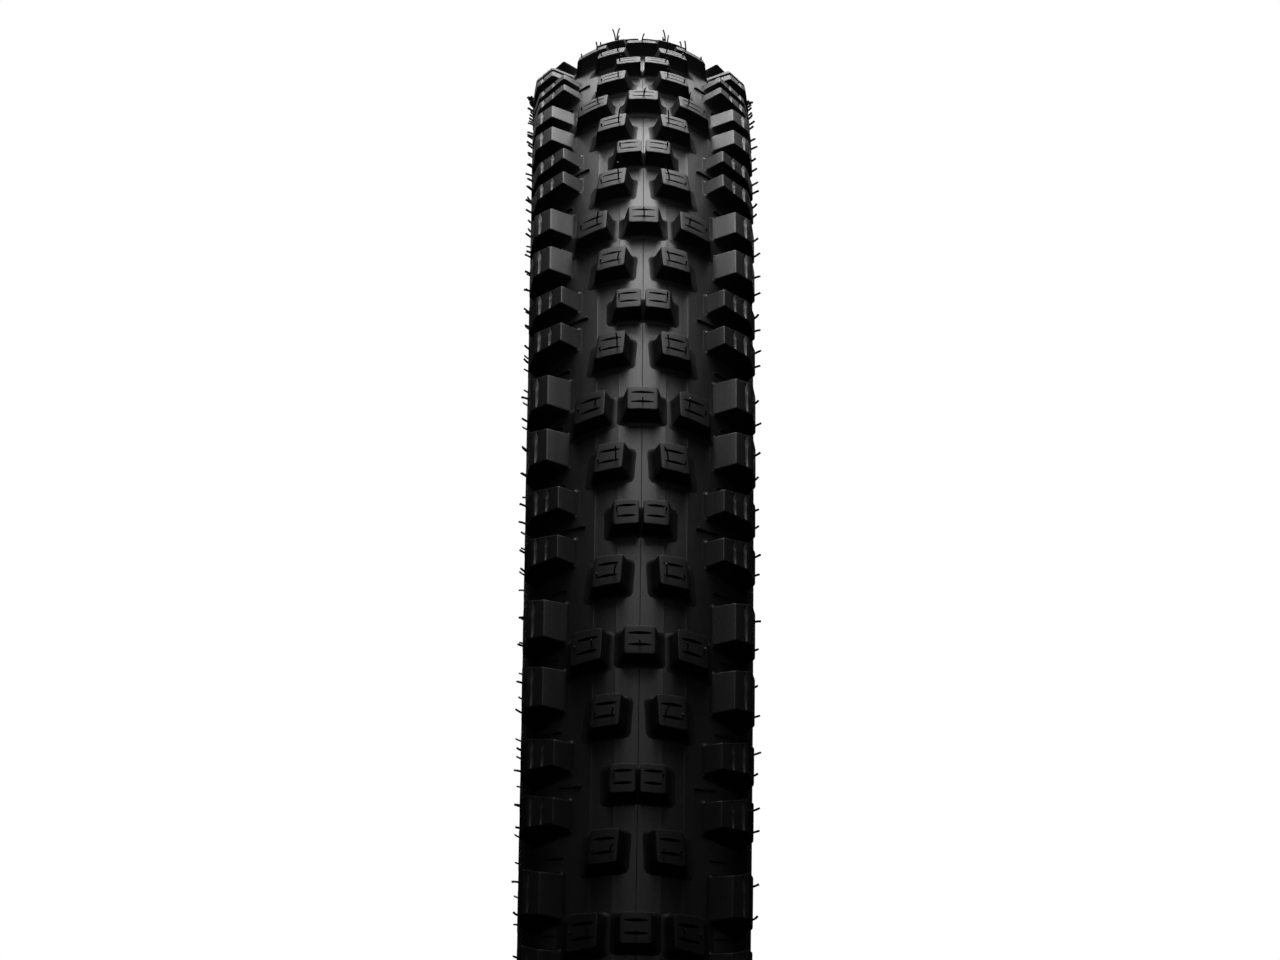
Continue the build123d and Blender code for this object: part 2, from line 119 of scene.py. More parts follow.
# Knobs of the crown: outlines at the outer radius and at the crown of the skin, corners in the
# order rear inner, front inner, front outer, rear outer; cross cuts; rows along the tread
CROWN_KNOBS = {
    "centre_single_knobs": {
        "top": ((-4.15, -3.9), (4.15, -3.9), (4.15, 3.9), (-4.15, 3.9)),
        "base": ((-4.6, -5.0), (4.6, -5.0), (4.6, 5.0), (-4.6, 5.0)),
        "cuts": (-0.47, 0.354), "ends": (-0.74, 0.74), "rows": (SINGLE_ROW,), "sides": (("", 1),)},
    "centre_pair_knobs": {
        "top": ((-4.0, 0.55), (4.0, 0.55), (4.0, 6.9), (-4.0, 6.9)),
        "base": ((-4.45, 0.5), (4.45, 0.5), (4.45, 7.8), (-4.45, 7.8)),
        "cuts": (-0.49, 0.35), "ends": (-0.72, 0.72), "rows": (41.55,), "sides": BOTH_SIDES},
    "middle_knobs": {
        "top": ((-4.5, 4.6), (4.5, 5.2), (4.5, 12.0), (-4.5, 11.3)),
        "base": ((-5.0, 2.5), (5.0, 3.1), (5.0, 12.4), (-5.0, 11.6)),
        "cuts": (-0.41, 0.385), "ends": (-0.7, 0.74), "rows": (22.1, 59.8), "sides": BOTH_SIDES},
    "outer_single_knobs": {
        "top": ((-4.4, 10.2), (4.4, 10.6), (4.4, 16.9), (-4.4, 16.5)),
        "base": ((-4.9, 7.8), (4.9, 8.2), (4.9, 17.2), (-4.9, 16.8)),
        "cuts": (-0.42, 0.393), "ends": (-0.68, 0.7), "rows": (2.2,), "sides": BOTH_SIDES},
}

# Knobs of the edges: root on the skin, ridge, outer corner and lower end of the outer wall,
# grooves along the tread, lengths at the two EDGE_HEIGHTS, rows along the tread
EDGE_KNOBS = {
    "shoulder_long_knobs": {
        "root": 16.2, "ridge": (20.9, 361.3), "corner": (27.5, 355.1), "end": (29.1, 349.5),
        "grooves": (23.6, 26.3), "lengths": (7.5, 9.6), "rows": (31.4, 47.9)},
    "shoulder_short_knobs": {
        "root": 18.0, "ridge": (24.0, 359.6), "corner": (28.2, 356.0), "end": (29.1, 350.0),
        "grooves": (26.6,), "lengths": (11.0, 13.0), "rows": (11.0, 69.8)},
}
EDGE_HEIGHTS = (361.0, 354.0)
EDGE_SKEW = 0.4                        # how far the outer part trails per mm past the ridge

# Fine lines round the tread: side, share of the full line height
MOULD_LINES = ((-11.6, 0.3), (-6.0, 0.3), (0.0, 1.0), (6.0, 0.3), (11.6, 0.3))
LINE_HALF_TURN = 0.003                 # half of a line's width, as an angle of the section

# Rings of a knob's wall from its top face down: outward offset, share of the knob's height,
# and millimetres added to that
TOP_FACE = (0.0, 1.0, 0.0)
WALL_RINGS = ((-0.08, 1.0, -0.08), (0.0, 1.0, -0.3), (0.04, 0.0, 0.95), (0.32, 0.0, 0.32),
              (0.85, 0.0, 0.05), (1.3, 0.0, -0.2))


class TireSettings(bpy.types.PropertyGroup):
    """Sizes and colours that are free to change."""
    edge_round: bpy.props.FloatProperty(
        name="Edge rounding", description="Width of the rounded top edge of a knob",
        default=0.0003, unit="LENGTH")
    corner_round: bpy.props.FloatProperty(
        name="Corner rounding", description="Cut of the upright corners of a knob",
        default=0.0007, unit="LENGTH")
    cut_width: bpy.props.FloatProperty(
        name="Cut width", description="Width of a cross cut at its middle",
        default=0.0009, unit="LENGTH")
    cut_depth: bpy.props.FloatProperty(
        name="Cut depth", description="Depth of the cross cuts", default=0.0018, unit="LENGTH")
    groove_depth: bpy.props.FloatProperty(
        name="Groove depth", description="Depth of the grooves of the edge knobs",
        default=0.0011, unit="LENGTH")
    line_height: bpy.props.FloatProperty(
        name="Mould line height", description="Height of the fine lines round the tread",
        default=0.00025, unit="LENGTH")
    rib_width: bpy.props.FloatProperty(
        name="Rib width", description="Width of the small ribs between edge knobs",
        default=0.00065, unit="LENGTH")
    rib_height: bpy.props.FloatProperty(
        name="Rib height", description="Height of the small ribs", default=0.0007, unit="LENGTH")
    hair_radius: bpy.props.FloatProperty(
        name="Hair radius", description="Radius of a moulding hair of the crown",
        default=0.0002, unit="LENGTH")
    edge_hair_radius: bpy.props.FloatProperty(
        name="Edge hair radius", description="Radius of a moulding hair of the edge knobs",
        default=0.0003, unit="LENGTH")
    seed: bpy.props.IntProperty(
        name="Seed", description="Start of the random lengths and bends of the hairs", default=11)
    rubber: bpy.props.FloatVectorProperty(
        name="Rubber", description="Colour of the tread rubber", subtype="COLOR",
        default=(0.011, 0.011, 0.0115))
    worn_rubber: bpy.props.FloatVectorProperty(
        name="Dusty rubber", description="Colour of the paler patches", subtype="COLOR",
        default=(0.017, 0.0172, 0.0176))
    sidewall: bpy.props.FloatVectorProperty(
        name="Sidewall rubber", description="Colour of the sidewalls", subtype="COLOR",
        default=(0.010, 0.010, 0.0105))
    fabric: bpy.props.FloatVectorProperty(
        name="Casing fabric", description="Colour of the rubbered fabric", subtype="COLOR",
        default=(0.13, 0.11, 0.09))
    wire: bpy.props.FloatVectorProperty(
        name="Bead wire", description="Colour of the plated wire", subtype="COLOR",
        default=(0.62, 0.5, 0.28))
    floor: bpy.props.FloatVectorProperty(
        name="Floor", description="Colour of the floor", subtype="COLOR",
        default=(0.82, 0.82, 0.82))


def settings():
    """The sizes and colours in use."""
    return bpy.context.scene.tire_settings


# Materials

def add_node(tree, kind, **values):
    """A shader node with some of its properties and inputs set."""
    node = tree.nodes.new(kind)
    for name, value in values.items():
        if name in node.inputs:
            node.inputs[name].default_value = value
        else:
            setattr(node, name, value)
    return node


def object_noise(tree, scale, detail=3.0, rough=0.6):
    """Noise over the piece's own coordinates."""
    where = add_node(tree, "ShaderNodeTexCoord")
    noise = add_node(tree, "ShaderNodeTexNoise", Scale=scale, Detail=detail, Roughness=rough)
    tree.links.new(where.outputs["Object"], noise.inputs["Vector"])
    return noise


def spread(tree, value, low, high):
    """The value stretched from its middle range to between low and high."""
    node = add_node(tree, "ShaderNodeMapRange")
    node.inputs["From Min"].default_value = 0.35
    node.inputs["From Max"].default_value = 0.65
    node.inputs["To Min"].default_value = low
    node.inputs["To Max"].default_value = high
    tree.links.new(value, node.inputs["Value"])
    return node.outputs["Result"]


def mixed_colour(tree, share, first, second):
    """A colour that runs from the first to the second with the share."""
    mix = add_node(tree, "ShaderNodeMix", data_type="RGBA")
    mix.inputs[MIX_FIRST].default_value = (*first, 1)
    mix.inputs[MIX_SECOND].default_value = (*second, 1)
    tree.links.new(share, mix.inputs[MIX_FACTOR])
    return mix.outputs[MIX_RESULT]


def bump(tree, height, strength, distance, under=None):
    """Small relief, on top of another relief if there is one."""
    node = add_node(tree, "ShaderNodeBump", Strength=strength, Distance=distance)
    tree.links.new(height, node.inputs["Height"])
    if under is not None:
        tree.links.new(under, node.inputs["Normal"])
    return node.outputs["Normal"]


def new_material(name, first, second, roughness, patch=60.0, grain=2600.0, grain_depth=0.00006):
    """A surface with patches of two colours, uneven roughness and a fine grain."""
    material = bpy.data.materials.new(name)
    material.use_nodes = True
    tree = material.node_tree
    shader = tree.nodes["Principled BSDF"]
    patches = object_noise(tree, patch)
    share = spread(tree, patches.outputs["Fac"], 0.0, 1.0)
    tree.links.new(mixed_colour(tree, share, first, second), shader.inputs["Base Color"])
    fine = object_noise(tree, grain, detail=2.0)
    tree.links.new(spread(tree, fine.outputs["Fac"], roughness - 0.06, roughness + 0.06),
                   shader.inputs["Roughness"])
    normal = bump(tree, fine.outputs["Fac"], 0.6, grain_depth)
    tree.links.new(normal, shader.inputs["Normal"])
    return material, tree, shader, normal


def rubber_material(name, colour, roughness, specular):
    """Black rubber with dusty patches."""
    material, _, shader, _ = new_material(name, colour, settings().worn_rubber, roughness)
    shader.inputs["Specular IOR Level"].default_value = specular
    return material


def lined_material(name, first, second, roughness, lines, depth):
    """A surface with fine lines that run from the tread towards the bead."""
    material, tree, shader, normal = new_material(name, first, second, roughness)
    where = add_node(tree, "ShaderNodeTexCoord")
    parts = add_node(tree, "ShaderNodeSeparateXYZ")
    turn = add_node(tree, "ShaderNodeMath", operation="ARCTAN2")
    count = add_node(tree, "ShaderNodeMath", operation="MULTIPLY")
    wave = add_node(tree, "ShaderNodeMath", operation="SINE")
    count.inputs[1].default_value = lines
    tree.links.new(where.outputs["Object"], parts.inputs["Vector"])
    tree.links.new(parts.outputs["X"], turn.inputs[0])
    tree.links.new(parts.outputs["Z"], turn.inputs[1])
    tree.links.new(turn.outputs["Value"], count.inputs[0])
    tree.links.new(count.outputs["Value"], wave.inputs[0])
    tree.links.new(bump(tree, wave.outputs["Value"], 0.8, depth, normal), shader.inputs["Normal"])
    return material


def wire_material(name):
    """Plated wire with darker patches."""
    bright = settings().wire
    dull = [0.7 * part for part in bright]
    material, _, shader, _ = new_material(name, bright, dull, 0.35, grain_depth=0.00002)
    shader.inputs["Metallic"].default_value = 1.0
    return material


# Meshes

def finish_piece(mesh_data, name, material, replaced=()):
    """A named object of the tire from a finished mesh."""
    bmesh.ops.recalc_face_normals(mesh_data, faces=mesh_data.faces)
    mesh = bpy.data.meshes.new(name)
    mesh_data.to_mesh(mesh)
    mesh_data.free()
    mesh.polygons.foreach_set("use_smooth", [True] * len(mesh.polygons))
    mesh.set_sharp_from_angle(angle=CREASE)
    piece = bpy.data.objects.new(name, mesh)
    bpy.context.scene.collection.objects.link(piece)
    mesh.materials.append(material)
    weights = piece.modifiers.new("Face weights", "WEIGHTED_NORMAL")
    weights.keep_sharp = True
    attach(piece, "root")
    if replaced:
        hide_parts(*replaced)
    return piece


def round_ring(section, steps):
    """A closed ring turned from a closed section about the axle."""
    work = bmesh.new()
    points = [work.verts.new((0.0, side * MM, radius * MM)) for side, radius in section]
    edges = [work.edges.new(pair) for pair in zip(points, points[1:] + points[:1])]
    bmesh.ops.spin(work, geom=points + edges, cent=(0, 0, 0), axis=(0, 1, 0), dvec=(0, 0, 0),
                   angle=2 * math.pi, steps=steps, use_merge=True, use_duplicate=False)
    return work


def arc_places(centre, radius, start, end, count):
    """Places on an arc of the section, angles counted from sideways towards outward."""
    places = []
    for index in range(count + 1):
        turn = start + (end - start) * index / count
        places.append((centre[0] + radius * math.cos(turn), centre[1] + radius * math.sin(turn)))
    return places


def repeat_round(work):
    """Copies what is in the mesh to all repeats of the tread pattern."""
    bmesh.ops.spin(work, geom=work.verts[:] + work.edges[:] + work.faces[:], cent=(0, 0, 0),
                   axis=(0, 1, 0), dvec=(0, 0, 0), angle=PITCH * (REPEATS - 1),
                   steps=REPEATS - 1, use_duplicate=True)


def add_mesh(work, part):
    """Puts a part made on its own into the work mesh."""
    mesh = bpy.data.meshes.new("part")
    part.to_mesh(mesh)
    part.free()
    work.from_mesh(mesh)
    bpy.data.meshes.remove(mesh)


def plan_grid(along_lines, side_lines):
    """A flat square from -1 to 1, divided along the given lines."""
    plan = bmesh.new()
    bmesh.ops.create_grid(plan, x_segments=1, y_segments=1, size=1.0)
    for axis, lines in ((Vector((1, 0, 0)), along_lines), (Vector((0, 1, 0)), side_lines)):
        for value in lines:
            bmesh.ops.bisect_plane(plan, geom=plan.verts[:] + plan.edges[:] + plan.faces[:],
                                   plane_co=axis * value, plane_no=axis, dist=1e-5)
    return plan


def round_corners(plan, along, across):
    """Rounds the four corners of a plan whose half sizes are given."""
    corners = [v for v in plan.verts if abs(v.co.x) > 0.999 and abs(v.co.y) > 0.999]
    for vertex in plan.verts:
        vertex.co.x *= along
        vertex.co.y *= across
    bmesh.ops.bevel(plan, geom=corners, offset=settings().corner_round / MM, segments=2,
                    profile=0.5, affect="VERTICES", material=-1)


def rim_of(plan):
    """Edges that have a face on one side only."""
    return [edge for edge in plan.edges if edge.is_boundary]


def outward_steps(plan):
    """For each vertex of the plan's rim, the step that moves its two edges out by one."""
    steps = {}
    centre = Vector((0, 0, 0))
    for vertex in {v for edge in rim_of(plan) for v in edge.verts}:
        normals = []
        for edge in vertex.link_edges:
            if edge.is_boundary:
                run = edge.verts[1].co - edge.verts[0].co
                normal = Vector((run.y, -run.x, 0)).normalized()
                middle = (edge.verts[0].co + edge.verts[1].co) / 2
                normals.append(normal if normal.dot(middle - centre) > 0 else -normal)
        total = normals[0] + normals[1]
        steps[vertex] = total / max(total.dot(normals[0]), 0.5)
    return steps


def wall_down(plan, place, rings=WALL_RINGS):
    """Adds walls below a plan's rim and puts each vertex where place(x, y, ring, sunk) says."""
    inset = settings().edge_round / MM
    steps = outward_steps(plan)
    settled = {vertex: (vertex.co.xy, TOP_FACE) for vertex in plan.verts}
    rim = {vertex: (vertex.co.xy, step.xy) for vertex, step in steps.items()}
    for vertex, (flat, step) in rim.items():
        settled[vertex] = (flat - step * inset, TOP_FACE)
    edges = rim_of(plan)
    for ring in rings:
        made = bmesh.ops.extrude_edge_only(plan, edges=edges)["geom"]
        fresh = {item for item in made if isinstance(item, bmesh.types.BMVert)}
        edges = [item for item in made if isinstance(item, bmesh.types.BMEdge)
                 and set(item.verts) <= fresh]
        lower = {}
        for vertex in fresh:
            upper = [other for other in (e.other_vert(vertex) for e in vertex.link_edges)
                     if other in rim][0]
            flat, step = lower[vertex] = rim[upper]
            settled[vertex] = (flat + step * ring[0], ring)
        rim = lower
    bmesh.ops.holes_fill(plan, edges=edges, sides=0)
    for vertex, (flat, ring) in settled.items():
        vertex.co = place(flat.x, flat.y, ring, vertex.co.z)


LENS_NARROWING = 0.65                  # share of its width that a cross cut loses at its ends


def cut_slots(plan, cuts, ends, half_width):
    """Sinks lens-shaped cross cuts into the plan."""
    faces = []
    middle, reach_out = (ends[0] + ends[1]) / 2, (ends[1] - ends[0]) / 2
    for cut in cuts:
        for face in plan.faces:
            centre = face.calc_center_median()
            if abs(centre.x - cut) < half_width and ends[0] < centre.y < ends[1]:
                faces.append(face)
        for vertex in plan.verts:
            off = (vertex.co.y - middle) / reach_out
            if abs(off) < 1.01 and abs(vertex.co.x - cut) < 1.01 * half_width:
                vertex.co.x = cut + (vertex.co.x - cut) * (1 - LENS_NARROWING * off ** 2)
    made = bmesh.ops.extrude_face_region(plan, geom=faces)["geom"]
    bmesh.ops.delete(plan, geom=faces, context="FACES")
    for vertex in [item for item in made if isinstance(item, bmesh.types.BMVert)]:
        vertex.co.z = -1.0


def between(quad, x, y):
    """Place in a four-cornered outline, x and y from -1 to 1."""
    low, high = (1 - x) / 2, (1 + x) / 2
    near, far = (1 - y) / 2, (1 + y) / 2
    shares = (low * near, high * near, high * far, low * far)
    return [sum(share * corner[axis] for share, corner in zip(shares, quad)) for axis in (0, 1)]


CUT_STATIONS = (0.0, 0.2, 0.5, 0.8, 1.0)    # lines across a cross cut, from end to end


def crown_knob(shape, row, mirror):
    """One knob of the crown in its place."""
    sizes = settings()
    half = [(shape["top"][2][axis] - shape["top"][0][axis]) / 2 for axis in (0, 1)]
    slot = sizes.cut_width / MM / 2 / half[0]
    lines = [cut + step for cut in shape["cuts"] for step in (-slot, slot)]
    near, far = shape["ends"]
    plan = plan_grid(lines, [near + (far - near) * share for share in CUT_STATIONS])
    cut_slots(plan, shape["cuts"], shape["ends"], slot)
    round_corners(plan, *half)

    def place(x, y, ring, sunk):
        side = shape["top"][0][1] + half[1]
        for _ in range(4):
            radius = skin(side) + ring[1] * (knob_top(side) - skin(side)) + ring[2]
            radius += sunk * sizes.cut_depth / MM
            share = (radius - CROWN) / KNOB_HEIGHT
            quad = [[b[axis] + (t[axis] - b[axis]) * share for axis in (0, 1)]
                    for t, b in zip(shape["top"], shape["base"])]
            along, side = between(quad, x / half[0], y / half[1])
        if shape["top"][0][1] > 0:
            side = max(side, 0.0)
        return on_wheel(along, side * mirror, radius, row)

    wall_down(plan, place)
    return plan


def edge_path(shape):
    """Places down an edge knob's outer surface, each with its share of the groove's depth."""
    root = (shape["root"], skin(shape["root"]))
    ridge, corner, end = shape["ridge"], shape["corner"], shape["end"]
    slope = (corner[1] - ridge[1]) / (corner[0] - ridge[0])

    def outer_face(side):
        return (side, ridge[1] + slope * (side - ridge[0]))

    def ramp(share):
        return tuple(start + (stop - start) * share for start, stop in zip(root, ridge))

    path = [(root, 0.0), (ramp(0.16), 0.0), (ramp(0.55), 0.0), (ramp(0.95), 0.0),
            (outer_face(ridge[0] + 0.2), 0.0)]
    half = GROOVE_WIDTH / 2
    for middle in shape["grooves"]:
        path += [(outer_face(middle - half), 0.0), (outer_face(middle), 1.0),
                 (outer_face(middle + half), 0.0)]
    path += [(outer_face(corner[0] - 0.2), 0.0), ((corner[0] + 0.06, corner[1] - 0.25), 0.0),
             (end, 0.0)]
    return path


def edge_knob(shape, row, mirror):
    """One knob of the edge rows in its place."""
    path = edge_path(shape)
    last = len(path) - 1
    steps = [math.dist(a[0], b[0]) for a, b in zip(path, path[1:])]
    across = sum(steps) / 2
    along = shape["lengths"][0] / 2
    stations = [sum(steps[:index]) / across - 1 for index in range(last + 1)]
    plan = plan_grid((-0.9, -0.5, 0.0, 0.5, 0.9), stations[1:last])
    for vertex in plan.verts:
        nearest = min(range(last + 1), key=lambda index: abs(stations[index] - vertex.co.y))
        depth = max(0.0, 1 - (vertex.co.x / 0.9) ** 4)
        vertex.co.z = -path[nearest][1] * depth
    round_corners(plan, along, across)
    turns = [math.atan2(where[0], where[1] - SKIN_CENTRE) for where, _ in path]
    lift = [math.hypot(where[0], where[1] - SKIN_CENTRE) - SKIN_ARC for where, _ in path]

    def place(x, y, ring, sunk):
        station = y / across
        inner = min(max(station, -1), 1)
        turn, height = along_path(stations, turns, lift, inner)
        turn += (station - inner) * across / SKIN_ARC
        side, radius = on_skin_normal(turn, ring[1] * height + min(ring[2], height)
                                      + sunk * settings().groove_depth / MM)
        share = (EDGE_HEIGHTS[0] - radius) / (EDGE_HEIGHTS[0] - EDGE_HEIGHTS[1])
        half = along + (shape["lengths"][1] - shape["lengths"][0]) / 2 * share
        length = half * min(abs(x) / along, 1.0) + max(abs(x) - along, 0.0)
        trail = EDGE_SKEW * max(side - shape["ridge"][0], 0.0)
        return on_wheel(math.copysign(length, x) - trail, side * mirror, radius, row)

    wall_down(plan, place)
    return plan


def along_path(stations, turns, lift, station):
    """Angle and height of an edge knob's surface at a station of its path."""
    for index in range(len(stations) - 1):
        if station <= stations[index + 1] + 1e-6:
            share = (station - stations[index]) / (stations[index + 1] - stations[index])
            return (turns[index] + (turns[index + 1] - turns[index]) * share,
                    lift[index] + (lift[index + 1] - lift[index]) * share)
    return turns[-1], lift[-1]


# Small ribs of the shoulder: inner and outer end as side and millimetres along the tread
RIBS = (((13.9, 40.3), (19.3, 39.0)), ((18.2, 59.2), (22.3, 57.8)),
        ((19.9, 0.3), (23.2, -1.2)), ((19.0, 22.8), (23.6, 20.8)))


def rib(ends, mirror):
    """One small rib lying on the skin between two ends."""
    sizes = settings()
    work = bmesh.new()
    bmesh.ops.create_cube(work, size=1.0)
    bmesh.ops.bevel(work, geom=work.edges[:], offset=0.12, segments=2, profile=0.5,
                    affect="EDGES", material=-1)
    (side_a, row_a), (side_b, row_b) = ends
    for vertex in work.verts:
        share = vertex.co.y + 0.5
        side = side_a + (side_b - side_a) * share
        row = row_a + (row_b - row_a) * share + vertex.co.x * sizes.rib_width / MM
        turn = math.asin(side / SKIN_ARC)
        side, radius = on_skin_normal(turn, (vertex.co.z + 0.3) * sizes.rib_height / MM)
        vertex.co = on_wheel(0.0, side * mirror, radius, row)
    return work


# Moulding hairs of the crown: side, millimetres along the tread, height over the skin,
# greatest length
CROWN_HAIRS = ((0.1, 3.4, 4.4, 4.2), (6.2, 40.6, 4.4, 2.2), (-6.2, 40.6, 4.4, 2.2),
               (6.6, 23.3, 4.4, 5.0), (-6.6, 23.3, 4.4, 5.0), (11.0, 23.1, 4.4, 1.6),
               (-11.0, 23.1, 4.4, 1.6), (6.6, 61.0, 4.4, 5.0), (-6.6, 61.0, 4.4, 5.0),
               (11.0, 60.8, 4.4, 1.6), (-11.0, 60.8, 4.4, 1.6), (12.0, 2.2, 4.5, 3.6),
               (-12.0, 2.2, 4.5, 3.6), (16.2, 2.2, 4.6, 1.4), (-16.2, 2.2, 4.6, 1.4))
HAIR_ROOT = 0.1                        # how deep a crown hair starts in its knob
SHORTEST_SHARE = 0.4                   # of a crown hair's greatest length
CROWN_HAIR_BENDS = (0.05, 0.6)
CLUB_SHARES = (0.7, 1.2)               # width of a hair's tip against its foot

# Moulding hairs of the edge knobs: two to a knob, leaning out to the side
EDGE_HAIR_TURN = math.radians(61)
EDGE_HAIR_HEIGHT = 3.9
EDGE_HAIR_ENDS = (-0.8, 0.8)           # shares of half the knob's length
EDGE_HAIR_LENGTHS = (1.3, 2.2)
EDGE_HAIR_BENDS = (0.1, 0.7)
EDGE_HAIR_LEAN = 1.0                   # radians from upright on the tread
HAIR_SPIN = 6.28                       # directions a hair can bend in, in radians
HAIR_CORNERS = 5
HAIR_STEPS = 4


def bent_hair(radius, length, bend, club):
    """A thin round hair that stands on the origin along Z and bends towards X."""
    work = bmesh.new()
    foot = bmesh.ops.create_circle(work, segments=HAIR_CORNERS, radius=radius,
                                   cap_ends=True)["verts"]
    centre = Vector((length / bend, 0, 0))
    tip = bmesh.ops.spin(work, geom=work.faces[:] + work.edges[:] + foot, cent=centre,
                         axis=(0, 1, 0), dvec=(0, 0, 0), angle=bend,
                         steps=HAIR_STEPS)["geom_last"]
    ends = [item for item in tip if isinstance(item, bmesh.types.BMVert)]
    middle = sum((v.co for v in ends), Vector()) / len(ends)
    bmesh.ops.scale(work, verts=ends, vec=(club,) * 3, space=Matrix.Translation(-middle))
    return work


def stand_on(work, where, lean):
    """Moves a hair to a place of the model, leaning from the outward direction there."""
    up = Vector((where.x, 0, where.z)).normalized()
    side = Vector((0, 1, 0))
    turn = Matrix((side.cross(up), side, up)).transposed().to_4x4()
    bmesh.ops.transform(work, matrix=Matrix.Translation(where) @ turn @ lean, verts=work.verts)


# Operators

BELT_COLOURS = ((0.33, 0.27, 0.12), (0.24, 0.2, 0.1))


class BuildLayers(bpy.types.Operator):
    """Gives the hidden plies, belt, liner, chafers and bead parts their materials"""
    bl_idname = "tire.layers"
    bl_label = "Layers and beads"

    def execute(self, context):
        sizes = settings()
        fabric = lined_material("casing_fabric", sizes.fabric, sizes.worn_rubber, 0.7,
                                2600, 0.0001)
        belt = lined_material("belt_fabric", BELT_COLOURS[0], BELT_COLOURS[1], 0.6, 1800, 0.0001)
        base = rubber_material("base_rubber", sizes.rubber, 0.6, 0.4)
        filler = rubber_material("filler_rubber", sizes.rubber, 0.55, 0.4)
        liner = rubber_material("liner_rubber", sizes.sidewall, 0.45, 0.5)
        chafer = lined_material("chafer_rubber", sizes.sidewall, sizes.rubber, 0.6,
                                2200, 0.00006)
        wire = wire_material("bead_wire")
        for node, material in (("casing_ply_inner", fabric), ("casing_ply_outer", fabric),
                               ("puncture_belt", belt), ("tread_base", base),
                               ("inner_liner", liner)):
            NODES[node].material_slots[0].material = material
        for side, _ in BOTH_SIDES:
            NODES["bead_core_" + side].material_slots[0].material = wire
            NODES["bead_filler_" + side].material_slots[0].material = filler
            NODES["chafer_" + side].material_slots[0].material = chafer
        return {"FINISHED"}


class BuildTreadStrips(bpy.types.Operator):
    """Turns the strips of tread rubber between the knobs, with their fine mould lines"""
    bl_idname = "tire.strips"
    bl_label = "Tread strips"

    steps = 24
    inner_steps = 12

    def execute(self, context):
        rubber = rubber_material("tread_rubber", settings().rubber, 0.45, 0.9)
        limit = math.asin(STRIP_SIDE / SKIN_ARC)
        end = math.pi / 2 - SHOULDER_END
        self.strip("tread_centre", "tread_centre_strip", -limit, limit, rubber)
        self.strip("tread_shoulder_right", "tread_shoulder_strip_right", limit, end, rubber)
        self.strip("tread_shoulder_left", "tread_shoulder_strip_left", -end, -limit, rubber)
        return {"FINISHED"}

    def strip(self, name, node, start, end, rubber):
        """One strip between two angles of the section, in place of its CAD node."""
        height = settings().line_height / MM
        turns = {start + (end - start) * index / self.steps: 0.0
                 for index in range(self.steps + 1)}
        for side, share in MOULD_LINES:
            line = math.asin(side / SKIN_ARC)
            if start < line < end:
                turns.update({line - LINE_HALF_TURN: 0.0, line: height * share,
                              line + LINE_HALF_TURN: 0.0})
        outside = [on_skin_normal(turn, turns[turn]) for turn in sorted(turns)]
        inside = [on_skin_normal(end + (start - end) * index / self.inner_steps, -STRIP_THICKNESS)
                  for index in range(self.inner_steps + 1)]
        ring = round_ring(outside + inside, RING_STEPS)
        finish_piece(ring, name, rubber, (node,))


class BuildSidewalls(bpy.types.Operator):
    """Turns the two sidewalls down to the chafers"""
    bl_idname = "tire.sidewalls"
    bl_label = "Sidewalls"

    lower_centre = (12.54, 333.8)
    lower_arc = 16.46
    chafer_turn = math.radians(-62)    # where the chafer begins on the lower arc
    upper_steps = 6
    lower_steps = 16

    def execute(self, context):
        sizes = settings()
        rubber = lined_material("sidewall_rubber", sizes.sidewall, sizes.rubber, 0.6,
                                REPEATS * 60, 0.00012)
        for side, mirror in BOTH_SIDES:
            section = [(place[0] * mirror, place[1]) for place in self.outline()]
            finish_piece(round_ring(section, RING_STEPS), "sidewall_" + side, rubber,
                         ("sidewall_rubber_" + side,))
        return {"FINISHED"}

    def outline(self):
        """Section of the right sidewall: down its outer face and back up its inner face."""
        places = []
        for depth, down in ((0.0, True), (STRIP_THICKNESS, False)):
            upper = ((0, SKIN_CENTRE), SKIN_ARC - depth, SHOULDER_END, 0, self.upper_steps)
            lower = (self.lower_centre, self.lower_arc - depth, 0, self.chafer_turn,
                     self.lower_steps)
            face = arc_places(*upper) + arc_places(*lower)
            places += face if down else face[::-1]
        return places


class BuildCrownKnobs(bpy.types.Operator):
    """Builds the knobs of the centre, middle and outer rows with their cross cuts"""
    bl_idname = "tire.crown_knobs"
    bl_label = "Crown knobs"

    def execute(self, context):
        rubber = rubber_material("knob_rubber", settings().rubber, 0.5, 0.5)
        for name, shape in CROWN_KNOBS.items():
            for side, mirror in shape["sides"]:
                node = name + "_" + side if side else name
                work = bmesh.new()
                for row in shape["rows"]:
                    add_mesh(work, crown_knob(shape, row, mirror))
                repeat_round(work)
                finish_piece(work, "tread_" + node, rubber, (node,))
        return {"FINISHED"}


class BuildEdgeKnobs(bpy.types.Operator):
    """Builds the knobs of the two edge rows with their ramps and grooves"""
    bl_idname = "tire.edge_knobs"
    bl_label = "Edge knobs"

    def execute(self, context):
        rubber = rubber_material("shoulder_knob_rubber", settings().rubber, 0.5, 0.5)
        for name, shape in EDGE_KNOBS.items():
            for side, mirror in BOTH_SIDES:
                work = bmesh.new()
                for row in shape["rows"]:
                    add_mesh(work, edge_knob(shape, row, mirror))
                repeat_round(work)
                node = name + "_" + side
                finish_piece(work, "tread_" + node, rubber, (node,))
        return {"FINISHED"}


class BuildRibs(bpy.types.Operator):
    """Lays the small ribs between the edge knobs"""
    bl_idname = "tire.ribs"
    bl_label = "Shoulder ribs"

    def execute(self, context):
        rubber = rubber_material("rib_rubber", settings().rubber, 0.45, 0.5)
        for side, mirror in BOTH_SIDES:
            work = bmesh.new()
            for ends in RIBS:
                add_mesh(work, rib(ends, mirror))
            repeat_round(work)
            finish_piece(work, "shoulder_ribs_" + side, rubber)
        return {"FINISHED"}


